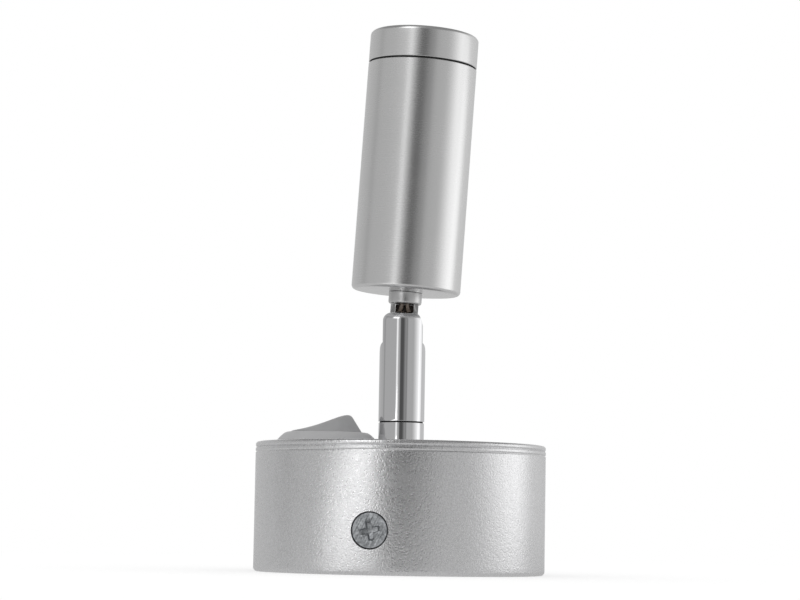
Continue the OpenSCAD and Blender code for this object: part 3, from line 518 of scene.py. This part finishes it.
def makeSideScrew(s, side, name):
    # the head's face is a height over a disc; cone, shank and tip carry on as rings
    rings, segments = 64, 180
    t = np.linspace(0, 2 * np.pi, segments, endpoint=False)
    r = np.linspace(0, 1, rings)[:, None] * (s["head"] / 2 - s["edge"])
    x, y = r * np.cos(t), r * np.sin(t)
    face = np.stack([x, y, screwFace(s, x, y)], -1)
    cone = (s["head"] - s["thread"]) / 2
    below = outline(arc(s["head"] / 2 - s["edge"], -s["edge"], s["edge"], 90, 0, 4),
                    [(s["head"] / 2, -s["headThickness"])],
                    [(s["thread"] / 2, -s["headThickness"] - cone), (s["thread"] / 2, 0.4 - s["length"]),
                     (s["thread"] / 2 - 0.4, -s["length"]), (0, -s["length"])])
    rest = np.stack([below[:, :1] * np.cos(t), below[:, :1] * np.sin(t), np.repeat(below[:, 1:], segments, 1)], -1)
    grid = np.concatenate([face, rest])
    place = (Matrix.Translation((0, side * (cover["radius"] - cover["screwSink"]) * mm, s["screwZ"] * mm))
             @ Matrix.Rotation(math.radians(-90 * side), 4, "X"))
    piece = tidyMesh(addPiece(name, grid.reshape(-1, 3), quads(len(grid), segments).tolist(), place))
    return finishPiece(piece, finishes["screw_zinc"], "root", ["side_screws"], 40)


makeCover(cover)
for side, name, turn in ((-1, "sideScrewFront", 12), (1, "sideScrewBack", 37)):
    makeSideScrew(dict(screw, turn=turn, screwZ=cover["screwHeight"]), side, name)
print("base ready")


flange = dict(radius=11.8, height=2.5, opening=8.7, bore=9.0, body=10.0, depth=16.0, floor=1.5, pivotDrop=1.0)


def makeFlange(s):
    # a moulded collar: convex flank, flat rim, chamfered mouth, then the body under the cover
    top = coverTop + s["height"]
    floor = coverTop - s["depth"]
    pivot = coverTop - s["pivotDrop"]
    rim = s["opening"] + 0.4
    flank = [(rim, top), (rim + 0.1, top), (rim + 0.45, top - 0.1), (rim + 1.1, coverTop + s["height"] * 0.78),
             (s["radius"] - 0.7, coverTop + s["height"] * 0.42), (s["radius"] - 0.12, coverTop + 0.3),
             (s["radius"], coverTop)]
    profile = outline(
        [(0, floor + s["floor"]), (s["bore"], floor + s["floor"]), (s["bore"], pivot), (s["opening"], pivot)],
        [(s["opening"], top - 0.35), (s["opening"] + 0.08, top - 0.12), (rim - 0.12, top - 0.01)],
        smoothPath(flank, 8), [(s["body"], coverTop)],
        [(s["body"], floor + 0.4), (s["body"] - 0.4, floor), (0, floor)])
    piece = lathe("switchFlange", profile, 224, Matrix.Translation((switchAcross * mm, 0, 0)))
    return finishPiece(piece, finishes["flange_plastic"], "root", ["switch_housing"], 28)


rocker = dict(radius=8.7, floor=3.4, waist=1.1, taper=0.295, middle=5.02, dish=0.0206, crestRound=1.1,
              sideRound=0.35)


def makeRocker(s):
    # the face z = middle + dish x^2 meets the cone r = radius - taper (z - waist) in an edge; from there a
    # quadratic curve, wide at the crests and narrow at the sides, turns from the face into the cone
    segments = 240
    t = np.linspace(0, 2 * np.pi, segments, endpoint=False)[None, :]
    edge = np.full_like(t, s["radius"] - 1.3)
    for _ in range(12):  # the edge's radius settles within a few rounds
        edge = s["radius"] - (s["middle"] + s["dish"] * (edge * np.cos(t)) ** 2 - s["waist"]) * s["taper"]
    turn = s["sideRound"] + (s["crestRound"] - s["sideRound"]) * np.abs(np.cos(t)) ** 5
    inner = edge - turn
    r = inner * np.linspace(0, 1, 40)[:, None]
    z = s["middle"] + s["dish"] * (r * np.cos(t)) ** 2
    top = s["middle"] + s["dish"] * (edge * np.cos(t)) ** 2
    share = np.linspace(0, 1, 15)[1:, None]
    first, second, third = (1 - share) ** 2, 2 * share * (1 - share), share ** 2
    roundR = first * inner + second * edge + third * (edge + turn * s["taper"])
    roundZ = first * z[-1:] + second * top + third * (top - turn)
    wallZ = roundZ[-1:] + (s["waist"] - roundZ[-1:]) * np.linspace(0, 1, 8)[1:, None]
    wallR = s["radius"] - (wallZ - s["waist"]) * s["taper"]
    foot = np.array([(s["radius"], 0.0), (s["radius"] - 0.4, 0.8 - s["floor"]), (s["radius"] - 0.7, -s["floor"]),
                     (0.0, -s["floor"])])
    radii = np.concatenate([r, roundR, wallR, np.repeat(foot[:, :1], segments, 1)])
    heights = np.concatenate([z, roundZ, wallZ, np.repeat(foot[:, 1:], segments, 1)])
    grid = np.stack([radii * np.cos(t), radii * np.sin(t), heights], -1)
    piece = addPiece("switchRocker", grid.reshape(-1, 3), quads(len(grid), segments).tolist(), rockerPlace)
    tidyMesh(piece, 1e-6)
    return finishPiece(piece, finishes["rocker_plastic"], "rocker", ["switch_rocker"], 32)


makeFlange(flange)
makeRocker(rocker)
print("switch ready")


collar = dict(radius=5.2, height=4.8, spigot=3.5, spigotTop=39.05, thread=2.9, top=43.1, bore=2.0, lower=4.0,
              bottom=18.7)


def makeCollar(s):
    # outside from the lower thread up over the collar and spigot, then back down the bore
    top = coverTop + s["height"]
    profile = outline(
        [(s["bore"], s["bottom"]), (s["lower"], s["bottom"]), (s["lower"], coverTop)],
        [(s["radius"] - 0.1, coverTop), (s["radius"], coverTop + 0.1), (s["radius"], top - 0.05)],
        arc(s["radius"] - 0.05, top - 0.05, 0.05, 0, 90, 3),
        [(s["spigot"], top), (s["spigot"], s["spigotTop"]), (s["thread"], s["spigotTop"])],
        [(s["thread"], s["top"]), (s["bore"], s["top"])])
    piece = lathe("fixedCollar", profile, 160, closed=True)
    return finishPiece(piece, finishes["plated_metal"], "root", ["stem_nipple"], 20)


barrel = dict(radius=5.25, length=24.9, topRound=2.0, bore=3.55, leadBore=2.0, cavity=4.1, shoulder=4.5, slot=5.2,
              slotDepth=7.0, rollHeight=2.15, corner=(2.2, 4.4), cornerReach=4.65, pinHead=3.7, pinHeadDepth=3.9,
              web=2.2)


def slotCutter(s):
    # the slot's floor rolls off in a quarter ellipse towards both sides of the barrel
    reach = math.sqrt(s["radius"] ** 2 - (s["slot"] / 2) ** 2) - 0.05
    floor = barrelTop - s["slotDepth"]
    turn = np.radians(np.linspace(0, 80, 15))
    roll = np.stack([reach + (s["radius"] - reach) * np.sin(turn), floor - s["rollHeight"] * (1 - np.cos(turn))], 1)
    low = floor - s["rollHeight"] - 0.8
    right = np.concatenate([roll, [(s["radius"] + 0.1, low), (s["radius"] + 0.1, barrelTop + 2)]])
    left = right[::-1] * (-1, 1)
    return prism("slotCutter", np.concatenate([right, left]), -s["slot"] / 2, s["slot"] / 2, barrelPlace)


def cornerCutter(s):
    # what the long elliptical corner at the barrel's top takes away on one side
    inset, drop = s["corner"]
    centre = s["cornerReach"] - inset
    clear = s["radius"] + 2  # past the barrel on every side
    turn = np.radians(np.linspace(0, 88, 21))
    over = np.stack([centre + inset * np.cos(turn), barrelTop - drop + drop * np.sin(turn)], 1)
    section = np.concatenate([over, [(centre, barrelTop + 1), (clear, barrelTop + 1), (clear, barrelTop - drop)]])
    return prism("cornerCutter", section, -clear, clear, barrelPlace)


def makeBarrel(s):
    # a rounded barrel, bored from below, cut by the fork slot and by one long corner
    low = barrelTop - s["length"]
    top = barrelTop
    cavityTop = top - s["slotDepth"] - s["web"]
    profile = outline(
        [(s["bore"], low), (s["radius"] - 0.05, low)], arc(s["radius"] - 0.05, low + 0.05, 0.05, -90, 0, 3),
        line((s["radius"], low + 0.4), (s["radius"], top - s["topRound"]), 22),
        arc(s["radius"] - s["topRound"], top - s["topRound"], s["topRound"], 0, 90, 22),
        line((s["radius"] - s["topRound"] - 0.2, top), (s["leadBore"] + 0.05, top), 4),
        [(s["leadBore"], top), (s["leadBore"], cavityTop), (s["cavity"], cavityTop)],
        [(s["cavity"], low + s["shoulder"])],
        [(s["bore"], low + s["shoulder"])])
    body = lathe("swivelBarrel", profile, 224, barrelPlace, closed=True)
    seat = (barrelPlace @ Matrix.Translation((0, s["pinHeadDepth"] * mm, tiltHeight * mm))
            @ Matrix.Rotation(math.radians(-90), 4, "X"))
    head = lathe("pinCutter", [(0, 0), (s["pinHead"] / 2, 0), (s["pinHead"] / 2, 4), (0, 4)], 64, seat)
    carve(body, "DIFFERENCE", slotCutter(s), cornerCutter(s), head)
    soften(body, 0.12, 2, 40)
    return finishPiece(body, finishes["plated_metal"], "stem", ["stem_barrel"], 24)


# A black ring in the gap between collar and barrel, painted shade for the seam's dark line
seamShadeRing = dict(outer=4.95, inner=3.56, gap=0.3)


def makeSeamShadeRing(s):
    # a black ring that fills the gap between collar and barrel: painted shade for the dark line at that seam
    low = coverTop + collar["height"] + 0.01
    high = low + s["gap"] - 0.02
    profile = outline([(s["inner"], low), (s["outer"] - 0.1, low)],
                      arc(s["outer"] - 0.14, (low + high) / 2, 0.14, -80, 80, 6), [(s["inner"], high)])
    piece = lathe("seamShadeRing", profile, 128, closed=True)
    return finishPiece(piece, finishes["ring_rubber"], "root", [], 40)


makeCollar(collar)
makeBarrel(barrel)
makeSeamShadeRing(seamShadeRing)
print("stem ready")


tongue = dict(eye=3.1, eyeThickness=2.4, eyeFace=-2.3, neckWidth=6.3, neckThickness=4.6, neckFoot=2.9, window=4.3,
              windowFoot=3.4, windowTop=5.65, collar=3.8, collarBead=0.55, collarTop=8.35, studLength=7.0, stud=3.0,
              studBore=1.7, pinHole=1.35, soft=0.42)


def makeTongue(s):
    # an eye on the pin, a two-legged neck with a window for the leads, a collar and the hollow stud
    def turned(name, profile, y=None):
        # about the head's axis, or about the pin's from the given y
        place = headPlace
        if y is not None:
            place = headPlace @ Matrix.Translation((0, y * mm, 0)) @ Matrix.Rotation(math.radians(90), 4, "X")
        return lathe(name, profile, 128, place)
    eye = turned("knuckleTongue", [(0, 0), (s["eye"], 0), (s["eye"], s["eyeThickness"]), (0, s["eyeThickness"])],
                 s["eyeFace"] + s["eyeThickness"])
    half = s["neckWidth"] / 2
    web = block("neckWeb", (-half, s["eyeFace"], 0), (half, s["eyeFace"] + s["eyeThickness"], s["neckFoot"] + 0.1),
                headPlace)
    thick = s["neckThickness"] / 2
    neck = block("neck", (-half, -thick, s["neckFoot"]), (half, thick, s["windowTop"] + 0.01), headPlace)
    collarLow = s["windowTop"]
    bead = s["collarBead"]
    ring = turned("neckCollar", outline(
        [(0, collarLow)], arc(s["collar"] - bead, collarLow + bead, bead, -90, 0, 8),
        [(s["collar"], s["collarTop"] - 0.1), (s["stud"], s["collarTop"] - 0.1)],
        [(s["stud"], s["collarTop"] + s["studLength"]), (0, s["collarTop"] + s["studLength"])]))
    carve(eye, "UNION", web, neck, ring)
    clear = 6  # past the neck, front and back
    hole = turned("pinHole", [(0, -clear), (s["pinHole"], -clear), (s["pinHole"], clear), (0, clear)], 0)
    wide = s["window"] / 2
    window = block("window", (-wide, -clear, s["windowFoot"]), (wide, clear, s["windowTop"]), headPlace)
    boreTop = s["collarTop"] + s["studLength"] + 2
    bore = turned("studBore", [(0, s["windowTop"] - 0.5), (s["studBore"], s["windowTop"] - 0.5),
                               (s["studBore"], boreTop), (0, boreTop)])
    path = block("leadPath", (-half - 1, s["eyeFace"] + s["eyeThickness"] + 0.01, -1),
                 (half + 1, clear, s["windowFoot"]), headPlace)
    carve(eye, "DIFFERENCE", hole, window, bore, path)
    soften(eye, s["soft"], 3, 40)
    return finishPiece(eye, satinPlate, "head", ["knuckle_tongue"], 24)


head = dict(radius=12.5, bore=11.0, foot=8.35, floor=3.0, footRound=0.95, studHole=3.1, seat=8.0, seatStep=0.8,
            tube=52.4, seam=0.4, seamRadius=12.3, bezel=7.15, edgeRound=1.0, lip=1.2, lipRadius=9.5, bezelBore=10.4,
            sleeve=5.6)


def makeHeadTube(s):
    # a cup: closed end with a rounded edge below, straight wall, small chamfer at the seam
    seamZ = s["foot"] + s["tube"]
    floorZ = s["foot"] + s["floor"]
    hole = s["studHole"]
    seatR = s["bore"] - s["seatStep"]
    profile = outline(
        [(hole, floorZ), (hole, s["foot"] + 0.3), (hole + 0.3, s["foot"])],
        line((hole + 0.6, s["foot"]), (s["radius"] - s["footRound"], s["foot"]), 6),
        arc(s["radius"] - s["footRound"], s["foot"] + s["footRound"], s["footRound"], -90, 0, 16),
        line((s["radius"], s["foot"] + s["footRound"] + 0.3), (s["radius"], seamZ - 0.12), 24),
        [(s["radius"], seamZ - 0.12), (s["radius"] - 0.12, seamZ), (s["bore"], seamZ)],
        [(s["bore"], floorZ + s["seat"]), (seatR, floorZ + s["seat"]), (seatR, floorZ)])
    piece = lathe("headTube", profile, 256, headPlace, closed=True)
    return finishPiece(piece, finishes["head_aluminium"], "head", ["head_tube"], 20)


def makeSeamRing(s):
    # a flat ring, its outer face slightly rounded
    low = s["foot"] + s["tube"]
    profile = outline(arc(s["seamRadius"] - 0.2, low + s["seam"] / 2, 0.2, -90, 90, 8),
                      [(s["bore"], low + s["seam"]), (s["bore"], low)])
    piece = lathe("seamRing", profile, 192, headPlace, closed=True)
    return finishPiece(piece, finishes["ring_rubber"], "head", ["seam_ring"], 30)


def makeBezel(s):
    # a screwed ring: sleeve inside the tube, outer band, rounded front edge, and the lip over the glass
    low = s["foot"] + s["tube"] + s["seam"]
    top = low + s["bezel"]
    sleeveR = s["bore"] - 0.05
    profile = outline(
        [(s["bezelBore"], low - s["sleeve"]), (sleeveR, low - s["sleeve"]), (sleeveR, low)],
        [(s["radius"] - 0.12, low), (s["radius"], low + 0.12)],
        line((s["radius"], low + 0.4), (s["radius"], top - s["edgeRound"]), 5),
        arc(s["radius"] - s["edgeRound"], top - s["edgeRound"], s["edgeRound"], 0, 90, 14),
        [(s["lipRadius"] + 0.35, top), (s["lipRadius"], top - 0.35), (s["lipRadius"], top - s["lip"])],
        [(s["bezelBore"], top - s["lip"])])
    piece = lathe("frontBezel", profile, 256, headPlace, closed=True)
    return finishPiece(piece, finishes["head_aluminium"], "head", ["front_bezel"], 20)


# A dark block in the neck's window, painted shade standing in for the shadow behind the leads
windowShade = dict(half=2.1, near=0.95, far=2.1, foot=3.45, top=5.6)


def makeWindowShade(s):
    # a dark block at the back of the neck's window: painted shade that stands in for the shadow behind the leads
    piece = block("windowShadeBlock", (-s["half"], s["near"], s["foot"]), (s["half"], s["far"], s["top"]), headPlace)
    soften(piece, 0.3, 3, 40)
    return finishPiece(piece, paintedWindowShade, "head", [], 40)


makeTongue(tongue)
makeWindowShade(windowShade)
makeHeadTube(head)
makeSeamRing(head)
makeBezel(head)
print("head ready")


leads = dict(radius=0.5, sides=20, offset=0.6, swingX=2.3, swingY=1.2, holeY=6.0, board=53.0, sink=29.0)


def makeLeads(s):
    # the same routes as the solids, as round smooth sheaths
    forkFloor = barrelTop - barrel["slotDepth"]
    for side, colour in ((-1, "Dark"), (1, "Brown")):
        x = side * s["offset"]
        low = np.array([(x, 0.2, collar["top"] + 0.3), (x, 0.2, forkFloor - 2.4), (side, 0.6, forkFloor - 0.6),
                        (side * 1.15, 0.75, forkFloor - 0.1)])
        piece = tube("lampLeadStem" + colour, smoothPath(low, 6), s["radius"], s["sides"], barrelPlace)
        finishPiece(piece, finishes["lamp_lead"], "stem", ["lamp_leads_stem"], 60)
        swing = side * s["swingX"]
        top = head["foot"]
        legs = [(side * 1.7, s["swingY"] - 0.1, -2.1), (swing, s["swingY"], 0), (swing, s["swingY"], 1.4),
                (side * 1.5, 0.9, 3.2), (x, 0.1, 5.2), (x, 0, top),
                (x, 0, top + tongue["studLength"] + 1), (x, s["holeY"], s["sink"] - 1),
                (x, s["holeY"], s["sink"] + 6), (x, s["holeY"], s["board"])]
        piece = tube("lampLeadHead" + colour, smoothPath(legs, 8), s["radius"], s["sides"], headPlace)
        finishPiece(piece, finishes["lamp_lead"], "head", ["lamp_leads_head"], 60)


makeLeads(leads)
print("leads ready")


# Bearings and angles in degrees, lengths in millimetres, the focal length and the picture's width in pixels
view = dict(azimuth=11.4, distance=560.0, height=10.59, focal=2454.6, width=800, sensor=36.0, pitch=5.266, roll=1.0,
            sideways=-0.78)


def makeCamera(v):
    # looks along forward, with its right side along across and its top along upright
    turn = math.radians(v["azimuth"])
    pitch = math.radians(v["pitch"])
    roll = math.radians(v["roll"])
    level = Vector((-math.sin(turn), math.cos(turn), 0))
    right = Vector((math.cos(turn), math.sin(turn), 0))
    forward = level * math.cos(pitch) + Vector((0, 0, math.sin(pitch)))
    up = Vector((0, 0, math.cos(pitch))) - level * math.sin(pitch)
    across = right * math.cos(roll) + up * math.sin(roll)
    upright = up * math.cos(roll) - right * math.sin(roll)
    place = Matrix((across, upright, -forward)).transposed().to_4x4()
    place.translation = (right * v["sideways"] - level * v["distance"] + Vector((0, 0, v["height"]))) * mm
    data = bpy.data.cameras.new("camera")
    data.sensor_width = v["sensor"]
    data.lens = v["focal"] / v["width"] * v["sensor"]
    data.clip_start = 0.01
    camera = bpy.data.objects.new("camera", data)
    camera.matrix_world = place
    bpy.context.scene.collection.objects.link(camera)
    bpy.context.scene.camera = camera


# Panels and flags round the set: middle and half width in degrees to the right of the camera, edge softness and
# level; the keys hang higher, where upright bright metal doesn't mirror them and grained metal still catches them
panels = [
    dict(middle=180, half=42, soft=50, level=0.1),
    dict(middle=-101, half=3, soft=9, level=-0.16),
    dict(middle=-26, half=4.0, soft=4, level=0.6),
    dict(middle=7, half=18.5, soft=7, level=-0.36),
    dict(middle=17, half=7, soft=10, level=0.2),
    dict(middle=88, half=14, soft=34, level=0.6),
    dict(middle=120, half=30, soft=40, level=0.14),
]
keys = [dict(middle=-38, half=16, level=1.6)]
# Small soft boxes low beside the base, which only its side mirrors; the power is in watts
lamps = [
    dict(name="softBoxLeft", bearing=-39, distance=150, height=14, wide=112, tall=26, power=0.0088),
    dict(name="softBoxRight", bearing=96, distance=170, height=14, wide=260, tall=60, power=0.0150),
]
studio = dict(wall=0.45, sheetHalf=12, sheetSoft=5, sheetRise=9, sheetTall=12, sheetEdge=6, ceilingFrom=24,
              ceilingSoft=20, ceiling=0.24, keySoft=14, keyHeight=46, keyTall=19, plain=0.92, plainTop=0.2,
              floorRadius=240.0, floorGlow=1.1, floorInMetal=0.5)


def bandOf(angle, middle, half, soft):
    # 1 inside the band, falling to 0 over the soft edge: (half + soft / 2 - distance from the middle) / soft
    return ((half + soft / 2 - abs(angle - middle)) / soft).clipped()


def lightPaths(finish):
    # 1 where the camera, a diffuse, a mirroring or a see-through surface looks
    kinds = ("Camera", "Diffuse", "Glossy", "Transmission")
    return [finish.node("LightPath", out=f"Is {kind} Ray") for kind in kinds]


def makeWorld(s):
    # white to the camera and through glass; metal sees the white sheet behind the object and the studio round it
    w = Finish("studio", world=True)
    way = w.node("TexCoord", out=0)  # the direction that is looked in
    turn = math.radians(view["azimuth"])
    dot = dict(operation="DOT_PRODUCT")
    toCamera = w.node("VectorMath", dot, way, (math.sin(turn), -math.cos(turn), 0), out="Value")
    toRight = w.node("VectorMath", dot, way, (math.cos(turn), math.sin(turn), 0), out="Value")
    up = w.node("SeparateXYZ", None, way, out="Z")
    bearing = toRight.maths("ARCTAN2", toCamera) * math.degrees(1)
    rise = up.maths("ARCSINE") * math.degrees(1)
    light = s["wall"]
    for panel in panels:
        angle = abs(bearing) if panel["middle"] == 180 else bearing  # behind, left and right meet
        light = light + bandOf(angle, panel["middle"], panel["half"], panel["soft"]) * panel["level"]
    high = ((rise - s["ceilingFrom"]) / s["ceilingSoft"]).clipped()
    light = light * (1 - high) + high * s["ceiling"]
    lifted = bandOf(rise, s["keyHeight"], s["keyTall"], s["keySoft"])
    for key in keys:
        light = light + bandOf(bearing, key["middle"], key["half"], s["keySoft"]) * lifted * key["level"]
    camera, diffuse, glossy, through = lightPaths(w)
    light = light * (1 - diffuse) + (up * s["plainTop"] + s["plain"]) * diffuse
    sheet = (bandOf(abs(bearing), 180, s["sheetHalf"], s["sheetSoft"])
             * bandOf(rise, s["sheetRise"], s["sheetTall"], s["sheetEdge"]))
    white = (camera + through + glossy * sheet).clipped()
    shader = w.node("Background", None, (1, 1, 1, 1), light * (1 - white) + white)
    w.node("OutputWorld", None, shader)
    bpy.context.scene.world = w.holder


def makeLamp(s):
    # an area lamp that faces the object's axis
    turn = math.radians(view["azimuth"] + s["bearing"])
    away = Vector((math.sin(turn), -math.cos(turn), 0)) * s["distance"] * mm
    data = bpy.data.lights.new(s["name"], "AREA")
    data.shape = "RECTANGLE"
    data.size = s["wide"] * mm
    data.size_y = s["tall"] * mm
    data.energy = s["power"]
    lamp = bpy.data.objects.new(s["name"], data)
    lamp.location = away + Vector((0, 0, s["height"] * mm))
    lamp.rotation_euler = (-away).to_track_quat("-Z", "Z").to_euler()
    bpy.context.scene.collection.objects.link(lamp)


def makeFloor(s):
    # a round white table: topped up where it is seen straight on or through glass, plain grey where metal mirrors it
    piece = lathe("floor", [(0, -2.0), (s["floorRadius"], -2.0), (s["floorRadius"], 0), (0, 0)], 128)
    f = Finish("tableWhite")
    weave = f.noise(f.place(), 4.0, 2.0)
    colour = f.blend(weave, (0.86, 0.86, 0.86), (0.9, 0.9, 0.9))
    plain = f.node("BsdfDiffuse", None, colour)
    shaded = f.node("MixShader", None, 0.5, plain, f.node("Emission", None, (1, 1, 1, 1), s["floorGlow"]))
    inMetal = f.node("Emission", None, (1, 1, 1, 1), s["floorInMetal"])
    camera, _, glossy, through = lightPaths(f)
    lit = f.node("MixShader", None, glossy, plain, inMetal)
    shader = f.node("MixShader", None, (camera + through).clipped(), lit, shaded)
    f.node("OutputMaterial", None, shader)
    piece.data.materials.append(f.holder)


makeCamera(view)
makeWorld(studio)
makeFloor(studio)
for lamp in lamps:
    makeLamp(lamp)
bpy.context.scene.view_settings.view_transform = "Standard"
print("studio ready")
